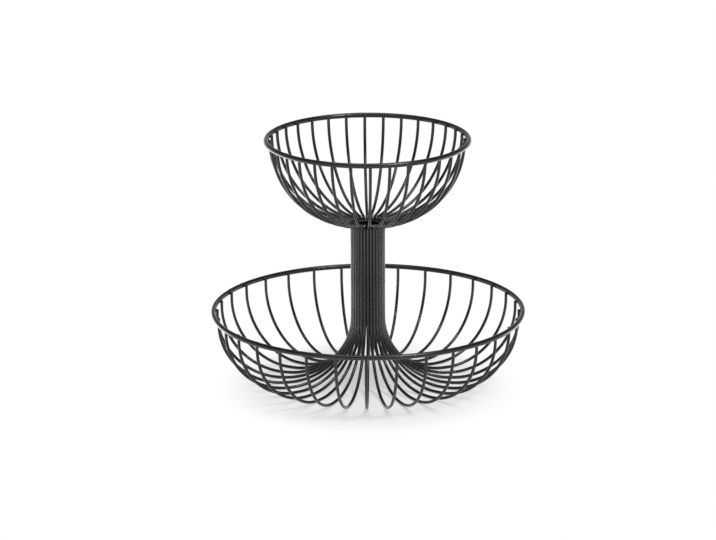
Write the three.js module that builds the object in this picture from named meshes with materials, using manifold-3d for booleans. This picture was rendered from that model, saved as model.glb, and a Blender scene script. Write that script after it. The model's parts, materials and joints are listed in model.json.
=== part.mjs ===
// Two-tier wire stand: a wide bowl whose ribs run on as the staves of a column, and a smaller basket on top.
// Millimetres, +Z up. The origin is on the table, on the column's axis, and the front faces -Y.

import * as THREE from "three";
import { mergeVertices } from "three/addons/utils/BufferGeometryUtils.js";
import Module from "manifold-3d";

// Wire stock
const RIB_WIRE = 3;
const RIM_WIRE = 5;

// Ribs come in neighbouring pairs, evenly spaced round the axis, and stand a little above their rim's middle
const RIB_PAIRS = 16;
const RIB_END_RISE = 0.8;

// Base
const LOWER_RIM_DIAMETER = 330;
const LOWER_RIM_HEIGHT = 76;
const FOOT_LENGTH = 4;
const COLUMN_HEIGHT = 169.2;
const TUBE_WALL = 1.2;

// Basket
const UPPER_RIM_DIAMETER = 215;
const UPPER_BOWL_RADIUS = 88;
const NECK_BEND_RADIUS = 3;
const NECK_STUB = 0.3;
const BASKET_TURN_DEG = 2.35;

// Neck sleeve, a hollow plug with a collar that sinks a little between the tips of the staves
const COLLAR_HEIGHT = 1.2;
const COLLAR_SINK = 0.9;
const PLUG_LENGTH = 35;
const SLEEVE_WALL = 1.2;
const PLUG_LEAD_IN = 1;

// Clearances
const STAVE_GAP = 0.35;
const WELD_GAP = 0.3;
const SEAT_GAP = 0.3;
const SLIDE_GAP = 0.3;
const WELD_BITE = 0.06;

// Facets
const WIRE_SIDES = 8;
const RIM_FACETS_PER_RIB = 2;
const LOWER_BEND_STEPS = 5;
const UPPER_BOWL_STEPS = 6;
const NECK_BEND_STEPS = 2;

const ribCount = 2 * RIB_PAIRS;
const ribAngle = (2 * Math.PI) / ribCount;
const halfAngle = ribAngle / 2;
const facetAngle = Math.PI / WIRE_SIDES;
const rimFacets = RIM_FACETS_PER_RIB * ribCount;

// Half the width across the flats of a wire, and half the length of one flat
const flatOf = (wire) => (wire / 2) * Math.cos(facetAngle);
const halfSideOf = (wire) => (wire / 2) * Math.sin(facetAngle);
const ribFlat = flatOf(RIB_WIRE);

// The staves stand in a closed circle: this radius leaves STAVE_GAP between the inner corners of neighbours
const staveRadius = halfSideOf(RIB_WIRE)
  + (STAVE_GAP / 2 + ribFlat * Math.cos(halfAngle)) / Math.sin(halfAngle);
// Corner radii of the column's tube, whose flats face the staves, and of the plug that slides in it
const tubeRadius = (staveRadius - ribFlat - WELD_GAP) / Math.cos(halfAngle);
const plugRadius = tubeRadius - TUBE_WALL - SLIDE_GAP;
const frontTurn = -Math.PI / 2;

const finish = { color: 0x2a2a2b, roughness: 0.5, metalness: 0.4 };

const wasm = await Module();
wasm.setup();

function solidOf(geometry) {
  const bare = geometry.clone();
  bare.deleteAttribute("normal");
  bare.deleteAttribute("uv");
  const welded = mergeVertices(bare);
  return new wasm.Manifold(new wasm.Mesh({
    numProp: 3,
    vertProperties: new Float32Array(welded.attributes.position.array),
    triVerts: new Uint32Array(welded.index.array),
  }));
}

function geometryOf(solid) {
  const mesh = solid.getMesh();
  const geometry = new THREE.BufferGeometry();
  geometry.setAttribute("position", new THREE.BufferAttribute(mesh.vertProperties, 3));
  geometry.setIndex(new THREE.BufferAttribute(mesh.triVerts, 1));
  geometry.computeVertexNormals();
  return geometry;
}

function part(name, geometry, turn = 0) {
  const mesh = new THREE.Mesh(geometry, new THREE.MeshStandardMaterial(finish));
  mesh.name = name;
  mesh.rotation.z = turn;
  return mesh;
}

// A wire's section: flats face the way it bends and its two neighbours
function wireSection(wire, radius = 0, height = 0) {
  return Array.from({ length: WIRE_SIDES }, (_, i) => {
    const angle = (2 * i + 1) * facetAngle;
    return new THREE.Vector2(radius + (wire / 2) * Math.cos(angle), height + (wire / 2) * Math.sin(angle));
  });
}

// A bend in the XZ plane, from one angle to another about a centre
class Bend extends THREE.Curve {
  constructor(x, z, radius, from, to) {
    super();
    Object.assign(this, { x, z, radius, from, to });
  }

  getPoint(t, target = new THREE.Vector3()) {
    const angle = THREE.MathUtils.lerp(this.from, this.to, t);
    return target.set(this.x + this.radius * Math.cos(angle), 0, this.z + this.radius * Math.sin(angle));
  }
}

// Straight stretches and bends in a row, each cut into its own number of steps
class BentWire extends THREE.Curve {
  constructor(stretches) {
    super();
    this.stretches = stretches;
    this.steps = stretches.reduce((sum, { steps }) => sum + steps, 0);
  }

  getPoint(t, target = new THREE.Vector3()) {
    let step = t * this.steps;
    for (const { curve, steps } of this.stretches.slice(0, -1)) {
      if (step <= steps) return curve.getPoint(step / steps, target);
      step -= steps;
    }
    const { curve, steps } = this.stretches.at(-1);
    return curve.getPoint(step / steps, target);
  }

  // Stations follow the steps, not the length
  getUtoTmapping(u) {
    return u;
  }
}

const bend = (x, z, radius, from, to, steps) => ({ curve: new Bend(x, z, radius, from, to), steps });

const straight = (x0, z0, x1, z1) => ({
  curve: new THREE.LineCurve3(new THREE.Vector3(x0, 0, z0), new THREE.Vector3(x1, 0, z1)),
  steps: 1,
});

function wireAlong(stretches) {
  const extrudePath = new BentWire(stretches);
  const section = new THREE.Shape(wireSection(RIB_WIRE));
  return new THREE.ExtrudeGeometry(section, { steps: extrudePath.steps, extrudePath, bevelEnabled: false });
}

// A closed profile turned about the Z axis, its facets facing the ribs
function turned(profile, segments) {
  const lathe = new THREE.LatheGeometry([...profile, profile[0]], segments, Math.PI / segments);
  return lathe.rotateX(Math.PI / 2);
}

const rim = (diameter, height) => turned(wireSection(RIM_WIRE, (diameter - RIM_WIRE) / 2, height), rimFacets);

// Where a rib's centre line meets the inside of its rim
const ribEndRadius = (diameter) => ((diameter - RIM_WIRE) / 2 - flatOf(RIM_WIRE)) * Math.cos(Math.PI / rimFacets)
  - WELD_GAP - ribFlat;

// The lower bowl and the flare share one bend radius, and end at one height above the table
const lowerEnd = ribEndRadius(LOWER_RIM_DIAMETER);
const lowerBend = (lowerEnd - staveRadius - FOOT_LENGTH) / 2;
const bendTop = ribFlat + lowerBend;

// Rim, down the bowl, level at the foot, up the flare and on as a stave
function lowerRib() {
  const outer = lowerEnd - lowerBend;
  const inner = staveRadius + lowerBend;
  return wireAlong([
    straight(lowerEnd, LOWER_RIM_HEIGHT + RIB_END_RISE, lowerEnd, bendTop),
    bend(outer, bendTop, lowerBend, 0, -Math.PI / 2, LOWER_BEND_STEPS),
    straight(outer, ribFlat, inner, ribFlat),
    bend(inner, bendTop, lowerBend, -Math.PI / 2, -Math.PI, LOWER_BEND_STEPS),
    straight(staveRadius, bendTop, staveRadius, COLUMN_HEIGHT),
  ]);
}

// Inside the staves, from the flare up to the collar's seat
function columnTube() {
  const seat = COLUMN_HEIGHT - COLLAR_SINK;
  return turned([
    new THREE.Vector2(tubeRadius - TUBE_WALL, bendTop),
    new THREE.Vector2(tubeRadius, bendTop),
    new THREE.Vector2(tubeRadius, seat),
    new THREE.Vector2(tubeRadius - TUBE_WALL, seat),
  ], ribCount);
}

// The basket stands on its own seat plane, z = 0 in its group. The bowl's arc is tangent to the neck bend.
const bowlCentreRadius = ribEndRadius(UPPER_RIM_DIAMETER) - UPPER_BOWL_RADIUS;
const neckCentreRadius = staveRadius + NECK_BEND_RADIUS;
const neckReach = neckCentreRadius - bowlCentreRadius;
const neckDrop = Math.sqrt((UPPER_BOWL_RADIUS + NECK_BEND_RADIUS) ** 2 - neckReach ** 2);
const upperRimHeight = NECK_STUB + neckDrop;

function upperRib() {
  const top = Math.asin(RIB_END_RISE / UPPER_BOWL_RADIUS);
  const tangent = Math.atan2(-neckDrop, neckReach);
  return wireAlong([
    bend(bowlCentreRadius, upperRimHeight, UPPER_BOWL_RADIUS, top, tangent, UPPER_BOWL_STEPS),
    bend(neckCentreRadius, NECK_STUB, NECK_BEND_RADIUS, tangent + Math.PI, Math.PI, NECK_BEND_STEPS),
    straight(staveRadius, NECK_STUB, staveRadius, 0),
  ]);
}

// Two neighbours, each moved towards the other until their stubs meet in a weld at the neck
function upperRibPair() {
  const shift = STAVE_GAP / 2 + WELD_BITE;
  const left = upperRib().translate(0, -shift, 0).rotateZ(halfAngle);
  const right = upperRib().translate(0, shift, 0).rotateZ(-halfAngle);
  return geometryOf(solidOf(left).add(solidOf(right)));
}

function neckSleeve() {
  const bore = plugRadius - SLEEVE_WALL;
  const seat = -COLLAR_SINK;
  return turned([
    new THREE.Vector2(bore, seat - PLUG_LENGTH),
    new THREE.Vector2(plugRadius - PLUG_LEAD_IN, seat - PLUG_LENGTH),
    new THREE.Vector2(plugRadius, seat - PLUG_LENGTH + PLUG_LEAD_IN),
    new THREE.Vector2(plugRadius, seat),
    new THREE.Vector2(tubeRadius, seat),
    new THREE.Vector2(tubeRadius, seat + COLLAR_HEIGHT),
    new THREE.Vector2(bore, seat + COLLAR_HEIGHT),
  ], ribCount);
}

const numbered = (name, index) => `${name}_${String(index + 1).padStart(2, "0")}`;

const base = new THREE.Group();
base.add(part("lower_rim", rim(LOWER_RIM_DIAMETER, LOWER_RIM_HEIGHT)), part("column_tube", columnTube()));
const lowerRibShape = lowerRib();
for (let i = 0; i < ribCount; i += 1) {
  base.add(part(numbered("lower_rib", i), lowerRibShape, frontTurn + i * ribAngle));
}

const basket = new THREE.Group();
basket.position.z = COLUMN_HEIGHT + SEAT_GAP;
basket.rotation.z = THREE.MathUtils.degToRad(BASKET_TURN_DEG);
basket.add(part("upper_rim", rim(UPPER_RIM_DIAMETER, upperRimHeight)), part("neck_sleeve", neckSleeve()));
const upperPairShape = upperRibPair();
for (let i = 0; i < RIB_PAIRS; i += 1) {
  basket.add(part(numbered("upper_rib_pair", i), upperPairShape, frontTurn + (2 * i + 0.5) * ribAngle));
}

const stand = new THREE.Group();
stand.add(base, basket);
export default stand;
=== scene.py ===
"""Looks of a two-tier wire stand: round bent wires, their welds, and a satin black powder coat."""

import json
import math
import random

import bmesh
import bpy
import numpy as np
from mathutils import Euler, Matrix, Vector

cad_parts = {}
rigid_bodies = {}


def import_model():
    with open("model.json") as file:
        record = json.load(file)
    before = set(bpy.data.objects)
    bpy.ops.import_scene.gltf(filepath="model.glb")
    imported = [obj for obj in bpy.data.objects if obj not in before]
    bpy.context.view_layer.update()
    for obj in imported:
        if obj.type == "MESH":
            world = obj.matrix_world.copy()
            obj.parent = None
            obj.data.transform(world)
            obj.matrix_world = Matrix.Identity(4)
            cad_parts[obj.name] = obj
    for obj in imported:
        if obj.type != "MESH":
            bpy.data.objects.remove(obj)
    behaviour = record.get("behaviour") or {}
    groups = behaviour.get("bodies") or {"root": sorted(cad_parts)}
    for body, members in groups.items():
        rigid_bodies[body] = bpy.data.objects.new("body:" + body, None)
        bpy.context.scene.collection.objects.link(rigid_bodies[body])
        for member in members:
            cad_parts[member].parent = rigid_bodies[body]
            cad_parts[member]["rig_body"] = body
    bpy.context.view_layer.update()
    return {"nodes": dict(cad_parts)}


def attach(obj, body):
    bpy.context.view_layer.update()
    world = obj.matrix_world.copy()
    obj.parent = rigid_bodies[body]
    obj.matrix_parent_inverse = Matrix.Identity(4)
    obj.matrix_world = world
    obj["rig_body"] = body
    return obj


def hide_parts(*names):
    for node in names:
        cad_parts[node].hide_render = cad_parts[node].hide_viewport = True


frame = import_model()

MM = 0.001

# Wire stock, the film of powder that thickens it, and how far a welded rib is pressed into its rim
FILM = 0.12 * MM
RIB_STOCK_RADIUS = 1.5 * MM
RIM_STOCK_RADIUS = 2.5 * MM
RIB_RADIUS = RIB_STOCK_RADIUS + FILM
RIM_RADIUS = RIM_STOCK_RADIUS + FILM
WELD_PRESS = 0.25 * MM

# Flat sides of a wire in the CAD
CAD_WIRE_SIDES = 8

# Bends that the CAD's corners don't give
FOOT_LENGTH = 4 * MM
UPPER_BOWL_RADIUS = 88 * MM
NECK_BEND_RADIUS = 3 * MM

# Cut ends of the ribs: how far they stand above the rim's middle, and the round that the film leaves
RIB_END_RISE = 0.8 * MM
CUT_ROUND = 0.5 * MM

# Weld at each crossing of rib and rim, along the rim, up the rib and through both
WELD_SIZE = Vector((1.85, 1.9, 0.75)) * MM
WELD_SPREAD = 0.08
WELD_SEED = 7

# The rims are closed by a butt weld, ground nearly flush, behind the middle
BUTT_WELD_LENGTH = 3 * MM
BUTT_WELD_RISE = 0.12 * MM
BUTT_WELD_AT = math.radians(96)

# Tube and sleeve
TUBE_EDGE = 0.35 * MM
SLEEVE_EDGE = TUBE_EDGE / 2
SLEEVE_WALL = 1.2 * MM
COLLAR_HEIGHT = 1.2 * MM
PLUG_LEAD_IN = 1 * MM

# Fineness of the meshes. Points of a path that lie nearer than SAME_POINT are one.
WIRE_SIDES = 18
BEND_STEPS = 44
NECK_STEPS = 10
CUT_STEPS = 4
RIM_STEPS = 320
TUBE_STEPS = 128
EDGE_STEPS = 4
WELD_SUBDIVISIONS = 3
SAME_POINT = 0.12 * MM

# Noises of the powder coat: size and detail of its grain, its orange peel and its slow drifts of tone
GRAIN = (0.35 * MM, 2)
PEEL = (1.5 * MM, 1)
DRIFT = (22 * MM, 3)
GRAIN_IN_FILM = 0.15
GRAIN_IN_TONE = 0.4
PEEL_IN_GLOSS = 0.5
PEEL_DEPTH = 0.0012 * MM

# Its tone, from dark to light between two levels of the noise, its glint and its gloss
COAT_TONE = (0.006, 0.0058, 0.0045)
TONE_SPREAD = 0.35
TONE_LEVELS = (0.3, 0.7)
COAT_GLINT = (1.0, 0.985, 0.955, 1)
COAT_IOR = 1.54
COAT_ROUGHNESS = 0.25
ROUGHNESS_SPREAD = 0.06

# The photograph's camera: its pixels, how far it stands off, and where it aims
IMAGE_WIDTH = 716
FOCAL_PIXELS = 3530.9
SENSOR_WIDTH = 36
CAMERA_AZIMUTH = math.radians(0.74)
CAMERA_ELEVATION = math.radians(17.25)
CAMERA_DISTANCE = 3707.8 * MM
CAMERA_ROLL = math.radians(-0.24)
ORBIT_HEIGHT = 80 * MM
AIM_ASIDE = -10.37 * MM
AIM_HEIGHT = 119.9 * MM

# White floor: how far from a centre it still takes the shadow, and how much of its white stays there
FLOOR_HALF = 8.0
FLOOR_TONE = 0.92
SHADOW_REACH = (95 * MM, 165 * MM)
SHADOW_CENTRE = (0, -22 * MM, 0)
SHADOW_PALENESS = 0.47

# The white backdrop fades into the dim room above it between these heights, as shares of the way up
BACKDROP_FADE = (0.08, 0.3)
WORLD_LIGHT = 0.2

# Softboxes: where they hang, how wide and high they are, and their watts
SOFTBOXES = {
    "overhead": ((0.0, 0.1, 1.8), (1.2, 1.2), 11),
    "key": ((0.72, -0.86, 1.5), (0.35, 0.35), 12),
    "front": ((-0.2, -1.2, 0.06), (1.2, 0.12), 1.0),
}

# Panels that lie on the floor behind the stand and shine up, for the glint on the column's sides
FLOOR_PANELS = {
    "left": ((-0.36, 0.3, 0.003), (0.32, 0.6), 1.8),
    "right": ((0.36, 0.3, 0.003), (0.32, 0.6), 1.3),
}


def named(start):
    """The CAD nodes whose names begin so, in order."""
    return sorted(name for name in frame["nodes"] if name.startswith(start))


def corners_of(node):
    """The corners of a CAD node."""
    return np.array([v.co for v in frame["nodes"][node].data.vertices])


def span(node):
    """Nearest and farthest distance of a CAD node's corners from the axis, and its lowest and top levels."""
    corners = corners_of(node)
    away = np.hypot(corners[:, 0], corners[:, 1])
    return away.min(), away.max(), corners[:, 2].min(), corners[:, 2].max()


def angle_of(node):
    """The direction of a CAD node's middle about the axis."""
    middle = corners_of(node).mean(axis=0)
    return math.atan2(middle[1], middle[0])


def ring_of(rim):
    """Radius and height of a rim's centre line."""
    near, far, low, high = span(rim)
    return (near + far) / 2, (low + high) / 2


def rib_end(rim):
    """Where a rib's centre line runs beside its rim."""
    return ring_of(rim)[0] - RIM_RADIUS - RIB_RADIUS + WELD_PRESS


def stave_radius():
    """The staves' distance from the axis: a rib's nearest corner, and half its width across flats."""
    return span("lower_rib_01")[0] + RIB_STOCK_RADIUS * math.cos(math.pi / CAD_WIRE_SIDES)


def pair_angles(node):
    """Directions of a CAD pair's two ribs, half a rib's spacing to either side of its middle."""
    half = math.pi / (2 * len(named("upper_rib_pair_")))
    return angle_of(node) - half, angle_of(node) + half


def round_angles(steps):
    """Angles of evenly spaced points on a circle."""
    return np.arange(steps) * 2 * math.pi / steps


def bend(centre, radius, start, end, steps=BEND_STEPS):
    """Points on an arc about a centre given as distance and height."""
    turns = np.linspace(start, end, steps + 1)
    return [(centre[0] + radius * math.cos(t), centre[1] + radius * math.sin(t)) for t in turns]


def line_and_bends(*stretches):
    """Points of straight stretches and bends in a row, each once, as an array of distance and height."""
    points = [stretches[0][0]]
    for stretch in stretches:
        points += [p for p in stretch if math.dist(p, points[-1]) > SAME_POINT]
    return np.array(points)


def lower_rib_path():
    """From the rim down the bowl, level at the foot, up the flare and on as a stave of the column."""
    height = ring_of("lower_rim")[1]
    top = span("lower_rib_01")[3]
    end, stave = rib_end("lower_rim"), stave_radius()
    radius = (end - stave - FOOT_LENGTH) / 2
    level = RIB_RADIUS + radius
    return line_and_bends(
        [(end, height + RIB_END_RISE), (end, level)],
        bend((end - radius, level), radius, 0, -math.pi / 2),
        bend((stave + radius, level), radius, -math.pi / 2, -math.pi),
        [(stave, level), (stave, top)],
    )


def upper_rib_path():
    """From the rim down the bowl's arc, round the neck and down to the seat on the column."""
    height = ring_of("upper_rim")[1]
    seat = span("upper_rib_pair_01")[2]
    end, stave = rib_end("upper_rim"), stave_radius()
    bowl = end - UPPER_BOWL_RADIUS
    neck = stave + NECK_BEND_RADIUS
    drop = math.sqrt((UPPER_BOWL_RADIUS + NECK_BEND_RADIUS) ** 2 - (neck - bowl) ** 2)
    tangent = math.atan2(-drop, neck - bowl)
    return line_and_bends(
        [(end, height + RIB_END_RISE), (end, height)],
        bend((bowl, height), UPPER_BOWL_RADIUS, 0, tangent),
        bend((neck, height - drop), NECK_BEND_RADIUS, tangent + math.pi, math.pi, NECK_STEPS),
        [(stave, height - drop), (stave, seat)],
    )


def tube_faces(rings, sides, closed=False):
    """Quads between neighbouring rings of corners."""
    last = rings if closed else rings - 1
    return [
        (i * sides + j, i * sides + (j + 1) % sides,
         (i + 1) % rings * sides + (j + 1) % sides, (i + 1) % rings * sides + j)
        for i in range(last) for j in range(sides)
    ]


def wire_mesh(path, turn):
    """Corners and faces of a round wire along a path in the plane at an angle about the axis."""
    along = np.gradient(path, axis=0)
    along /= np.linalg.norm(along, axis=1)[:, None]
    # The ends are cut square and their edges rounded by the film
    corner = np.linspace(0, math.pi / 2, CUT_STEPS + 1)
    shrink = RIB_RADIUS - CUT_ROUND + CUT_ROUND * np.cos(corner)
    push = CUT_ROUND * (np.sin(corner) - 1)
    first = path[0] - along[0] * push[::-1, None]
    last = path[-1] + along[-1] * push[:, None]
    stations = np.vstack([first, path[1:-1], last])
    ways = np.vstack([np.repeat(along[:1], len(push), 0), along[1:-1], np.repeat(along[-1:], len(push), 0)])
    radii = np.concatenate([shrink[::-1], np.full(len(path) - 2, RIB_RADIUS), shrink])
    sides = round_angles(WIRE_SIDES)
    across = np.stack([-ways[:, 1], ways[:, 0]], 1)
    in_plane = stations[:, None] + across[:, None] * (radii[:, None] * np.cos(sides))[..., None]
    sideways = radii[:, None] * np.sin(sides)
    corners = np.stack([in_plane[..., 0], sideways, in_plane[..., 1]], -1).reshape(-1, 3)
    corners = corners @ np.array(Matrix.Rotation(turn, 3, "Z")).T
    rings = len(stations)
    faces = tube_faces(rings, WIRE_SIDES)
    caps = [tuple(range(WIRE_SIDES))[::-1], tuple(range((rings - 1) * WIRE_SIDES, rings * WIRE_SIDES))]
    return corners, faces + caps


def turned_mesh(profile, steps):
    """Corners and faces of a closed outline, of distance and height, turned about the axis."""
    corners = [(r * math.cos(t), r * math.sin(t), z) for t in round_angles(steps) for r, z in profile]
    return corners, tube_faces(steps, len(profile), closed=True)


def rounded(outline, radius):
    """The outline with each of its corners turned into an arc."""
    points = []
    for before, corner, after in zip(outline[-1:] + outline[:-1], outline, outline[1:] + outline[:1]):
        here = Vector(corner)
        to_before = (Vector(before) - here).normalized()
        to_after = (Vector(after) - here).normalized()
        half = to_before.angle(to_after) / 2
        reach = radius / math.tan(half)
        centre = here + (to_before + to_after).normalized() * radius / math.sin(half)
        start = (here + to_before * reach - centre).normalized()
        end = (here + to_after * reach - centre).normalized()
        for step in range(EDGE_STEPS + 1):
            points.append(centre + start.slerp(end, step / EDGE_STEPS) * radius)
    return [tuple(p) for p in points]


def shown(name, vertices, faces):
    """A mesh object in the scene. Its quads are smooth, and the caps of cut wires flat."""
    mesh = bpy.data.meshes.new(name)
    mesh.from_pydata([tuple(v) for v in vertices], [], faces)
    mesh.polygons.foreach_set("use_smooth", [len(face) == 4 for face in faces])
    mesh.update()
    piece = bpy.data.objects.new(name, mesh)
    bpy.context.scene.collection.objects.link(piece)
    return piece


class Value:
    """A socket of a material. Arithmetic on it adds Math nodes."""

    def __init__(self, nodes, socket):
        self.nodes = nodes
        self.socket = socket

    def maths(self, operation, first, second):
        return self.nodes.add("ShaderNodeMath", {"operation": operation}, {0: first, 1: second})

    def __add__(self, other):
        return self.maths("ADD", self, other)

    def __radd__(self, other):
        return self.maths("ADD", other, self)

    def __sub__(self, other):
        return self.maths("SUBTRACT", self, other)

    def __rsub__(self, other):
        return self.maths("SUBTRACT", other, self)

    def __mul__(self, other):
        return self.maths("MULTIPLY", self, other)

    def __rmul__(self, other):
        return self.maths("MULTIPLY", other, self)


class Nodes:
    """The nodes of one material or world."""

    def __init__(self, owner):
        owner.use_nodes = True
        self.tree = owner.node_tree
        self.tree.nodes.clear()

    def add(self, kind, settings=None, values=None, output=0):
        """Adds a node: its settings first, then the values or links of its sockets. Gives one output back."""
        node = self.tree.nodes.new(kind)
        for name, setting in (settings or {}).items():
            if name == "stops":
                for stop, (place, colour) in zip(node.color_ramp.elements, setting):
                    stop.position = place
                    stop.color = colour
            else:
                setattr(node, name, setting)
        for name, value in (values or {}).items():
            if isinstance(value, Value):
                self.tree.links.new(value.socket, node.inputs[name])
            else:
                node.inputs[name].default_value = value
        return Value(self, node.outputs[output]) if len(node.outputs) else None


def powder_coat(slot):
    """Satin black powder coat: orange peel and grain in the film, with slow drifts of tone and gloss."""
    coat = bpy.data.materials.new(slot + "_powder_coat")
    nodes = Nodes(coat)
    place = nodes.add("ShaderNodeTexCoord", output="Object")

    def noise(size, detail):
        return nodes.add("ShaderNodeTexNoise", values={"Vector": place, "Scale": 1 / size, "Detail": detail})

    grain = noise(*GRAIN)
    peel = noise(*PEEL)
    drift = noise(*DRIFT)
    dark, light = (
        [channel * (1 + side * TONE_SPREAD) for channel in COAT_TONE] + [1] for side in (-1, 1)
    )
    mottle = drift * (1 - GRAIN_IN_TONE) + grain * GRAIN_IN_TONE
    tone = nodes.add("ShaderNodeValToRGB", {"stops": list(zip(TONE_LEVELS, (dark, light)))}, {"Fac": mottle})
    matt = drift * (1 - PEEL_IN_GLOSS) + peel * PEEL_IN_GLOSS
    roughness = COAT_ROUGHNESS - ROUGHNESS_SPREAD / 2 + ROUGHNESS_SPREAD * matt
    film = peel * (1 - GRAIN_IN_FILM) + grain * GRAIN_IN_FILM
    normal = nodes.add("ShaderNodeBump", values={"Height": film, "Distance": PEEL_DEPTH, "Strength": 1.0})
    surface = nodes.add("ShaderNodeBsdfPrincipled", values={
        "Base Color": tone, "Roughness": roughness, "IOR": COAT_IOR,
        "Specular Tint": COAT_GLINT, "Normal": normal,
    })
    nodes.add("ShaderNodeOutputMaterial", values={"Surface": surface})
    return coat


def dress(piece, slot, node):
    """Gives a piece its coat, and sets it on the body of the CAD node that it stands for."""
    piece.data.materials.append(coats[slot])
    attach(piece, frame["nodes"][node]["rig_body"])


def rim_wire(node):
    """A rim: a ring of wire with a ground butt weld."""
    radius, height = ring_of(node)
    sides = round_angles(WIRE_SIDES)
    turns = round_angles(RIM_STEPS)
    from_weld = radius * (turns - BUTT_WELD_AT) / BUTT_WELD_LENGTH
    thick = RIM_RADIUS + BUTT_WELD_RISE * np.exp(-from_weld ** 2)
    away = radius + thick[:, None] * np.cos(sides)
    level = height + thick[:, None] * np.sin(sides)
    corners = np.stack([away * np.cos(turns)[:, None], away * np.sin(turns)[:, None], level], -1)
    piece = shown(node + "_wire", corners.reshape(-1, 3), tube_faces(RIM_STEPS, WIRE_SIDES, closed=True))
    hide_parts(node)
    dress(piece, "coated_wire", node)


def lower_rib_wires():
    """One bent wire for each rib of the lower bowl."""
    path = lower_rib_path()
    for node in named("lower_rib_"):
        piece = shown(node + "_wire", *wire_mesh(path, angle_of(node)))
        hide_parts(node)
        dress(piece, "coated_wire", node)


def upper_rib_wires():
    """Two neighbouring wires for each pair of ribs of the upper basket."""
    path = upper_rib_path()
    for node in named("upper_rib_pair_"):
        (corners, faces), (more_corners, more_faces) = (wire_mesh(path, turn) for turn in pair_angles(node))
        more_faces = [tuple(i + len(corners) for i in face) for face in more_faces]
        piece = shown(node + "_wires", np.vstack([corners, more_corners]), faces + more_faces)
        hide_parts(node)
        dress(piece, "coated_wire", node)


def rim_welds(rim, angles):
    """A small upset bead at each crossing of a rib and a rim."""
    radius, height = ring_of(rim)
    draw = random.Random(WELD_SEED)
    mesh = bmesh.new()
    for angle in angles:
        size = WELD_SIZE * (1 + draw.uniform(-WELD_SPREAD, WELD_SPREAD))
        place = Matrix.Rotation(angle, 4, "Z") @ Matrix.Translation((radius - RIM_RADIUS, 0, height))
        shape = Matrix.Diagonal((size.z, size.x, size.y, 1))
        bmesh.ops.create_icosphere(mesh, subdivisions=WELD_SUBDIVISIONS, radius=1, matrix=place @ shape)
    for face in mesh.faces:
        face.smooth = True
    piece = shown(rim + "_welds", [], [])
    mesh.to_mesh(piece.data)
    mesh.free()
    dress(piece, "coated_wire", rim)


def column_tube():
    """The tube inside the staves."""
    near, far, low, high = span("column_tube")
    outline = [(near, low), (far, low), (far, high), (near, high)]
    corners, faces = turned_mesh(rounded(outline, TUBE_EDGE), TUBE_STEPS)
    piece = shown("column_tube_smooth", corners, faces)
    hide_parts("column_tube")
    dress(piece, "coated_tube", "column_tube")


def neck_sleeve():
    """A hollow plug with a lead-in below and a collar that seats on the tube."""
    near, far, low, high = span("neck_sleeve")
    plug = near + SLEEVE_WALL
    seat = high - COLLAR_HEIGHT
    outline = [
        (near, low), (plug - PLUG_LEAD_IN, low), (plug, low + PLUG_LEAD_IN),
        (plug, seat), (far, seat), (far, high), (near, high),
    ]
    corners, faces = turned_mesh(rounded(outline, SLEEVE_EDGE), TUBE_STEPS)
    piece = shown("neck_sleeve_smooth", corners, faces)
    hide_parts("neck_sleeve")
    dress(piece, "coated_tube", "neck_sleeve")


def seen_rays(nodes):
    """1 for rays from the camera, and for those that metal or glass sends on."""
    seen = nodes.add("ShaderNodeLightPath", output="Is Camera Ray")
    for name in ("Is Glossy Ray", "Is Transmission Ray"):
        seen = seen.maths("MAXIMUM", seen, nodes.add("ShaderNodeLightPath", output=name))
    return seen


def studio_floor():
    """A wide white floor that keeps the stand's shadow and is plain white away from it."""
    corners = [(x, y, 0) for x, y in ((-1, -1), (1, -1), (1, 1), (-1, 1))]
    floor = shown("studio_floor", [Vector(c) * FLOOR_HALF for c in corners], [(0, 1, 2, 3)])
    material = bpy.data.materials.new("studio_floor")
    nodes = Nodes(material)
    place = nodes.add("ShaderNodeTexCoord", output="Object")
    away = nodes.add("ShaderNodeVectorMath", {"operation": "DISTANCE"}, {0: place, 1: SHADOW_CENTRE}, "Value")
    near, far = SHADOW_REACH
    plain = nodes.add("ShaderNodeMapRange", {"interpolation_type": "SMOOTHSTEP"}, {
        "Value": away, "From Min": near, "From Max": far, "To Min": SHADOW_PALENESS, "To Max": 1.0,
    })
    matt = nodes.add("ShaderNodeBsdfDiffuse", values={"Color": (FLOOR_TONE, FLOOR_TONE, FLOOR_TONE, 1)})
    white = nodes.add("ShaderNodeEmission", values={"Color": (1, 1, 1, 1), "Strength": 1.0})
    both = nodes.add("ShaderNodeMixShader", values={0: plain * seen_rays(nodes), 1: matt, 2: white})
    nodes.add("ShaderNodeOutputMaterial", values={"Surface": both})
    floor.data.materials.append(material)


def studio_world():
    """A white backdrop all round, under a dim room that lights softly from above."""
    world = bpy.data.worlds.new("studio")
    bpy.context.scene.world = world
    nodes = Nodes(world)
    direction = nodes.add("ShaderNodeTexCoord", output="Generated")
    height = nodes.add("ShaderNodeSeparateXYZ", values={"Vector": direction}, output="Z")
    low, high = BACKDROP_FADE
    strength = nodes.add("ShaderNodeMapRange", {"interpolation_type": "SMOOTHSTEP"}, {
        "Value": height, "From Min": low, "From Max": high, "To Min": 1.0, "To Max": WORLD_LIGHT,
    })
    light = nodes.add("ShaderNodeBackground", values={"Color": (1, 1, 1, 1), "Strength": strength})
    nodes.add("ShaderNodeOutputWorld", values={"Surface": light})


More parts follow.
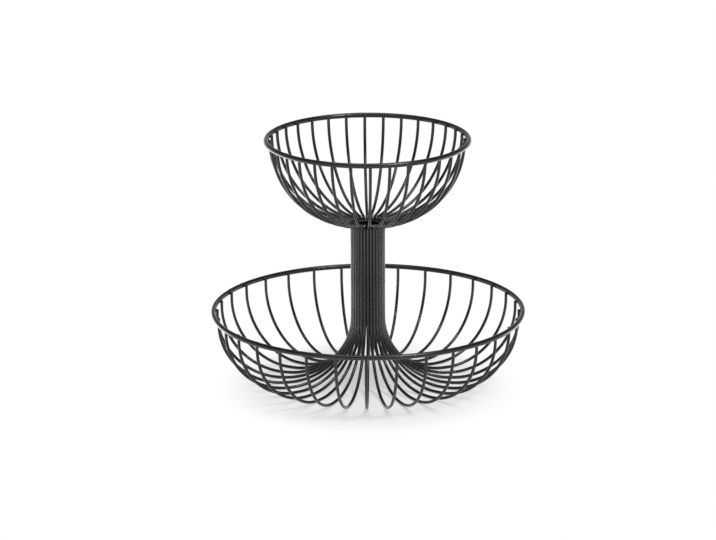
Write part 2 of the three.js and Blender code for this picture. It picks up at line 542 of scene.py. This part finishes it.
def area_lamp(name, place, size, watts, aim):
    """A lamp of a given width and height that faces along an aim."""
    lamp = bpy.data.lights.new(name, "AREA")
    lamp.shape = "RECTANGLE"
    lamp.size, lamp.size_y = size
    lamp.energy = watts
    holder = bpy.data.objects.new(name, lamp)
    bpy.context.scene.collection.objects.link(holder)
    holder.location = place
    holder.rotation_euler = aim.to_track_quat("-Z", "Y").to_euler()


def studio_camera():
    """The camera at the photograph's angle, turned a little about its own axis."""
    lens = bpy.data.cameras.new("camera")
    lens.sensor_fit = "HORIZONTAL"
    lens.sensor_width = SENSOR_WIDTH
    lens.lens = FOCAL_PIXELS * SENSOR_WIDTH / IMAGE_WIDTH
    holder = bpy.data.objects.new("camera", lens)
    bpy.context.scene.collection.objects.link(holder)
    round_stand = Matrix.Rotation(CAMERA_AZIMUTH, 3, "Z")
    out = Vector((0, -math.cos(CAMERA_ELEVATION), math.sin(CAMERA_ELEVATION)))
    holder.location = round_stand @ (Vector((0, 0, ORBIT_HEIGHT)) + out * CAMERA_DISTANCE)
    aim = round_stand @ Vector((AIM_ASIDE, 0, AIM_HEIGHT))
    look = (aim - holder.location).to_track_quat("-Z", "Y")
    holder.rotation_euler = (look @ Euler((0, 0, CAMERA_ROLL)).to_quaternion()).to_euler()
    bpy.context.scene.camera = holder


# The stand
coats = {slot: powder_coat(slot) for slot in ("coated_wire", "coated_tube")}
rim_wire("lower_rim")
rim_wire("upper_rim")
lower_rib_wires()
upper_rib_wires()
rim_welds("lower_rim", [angle_of(node) for node in named("lower_rib_")])
rim_welds("upper_rim", [angle for node in named("upper_rib_pair_") for angle in pair_angles(node)])
column_tube()
neck_sleeve()

# The studio
studio_floor()
studio_world()
for name, (place, size, watts) in SOFTBOXES.items():
    area_lamp(name, place, size, watts, Vector((0, 0, AIM_HEIGHT)) - Vector(place))
for name, (place, size, watts) in FLOOR_PANELS.items():
    area_lamp(name, place, size, watts, Vector((0, 0, 1)))
studio_camera()
bpy.context.scene.view_settings.view_transform = "Standard"
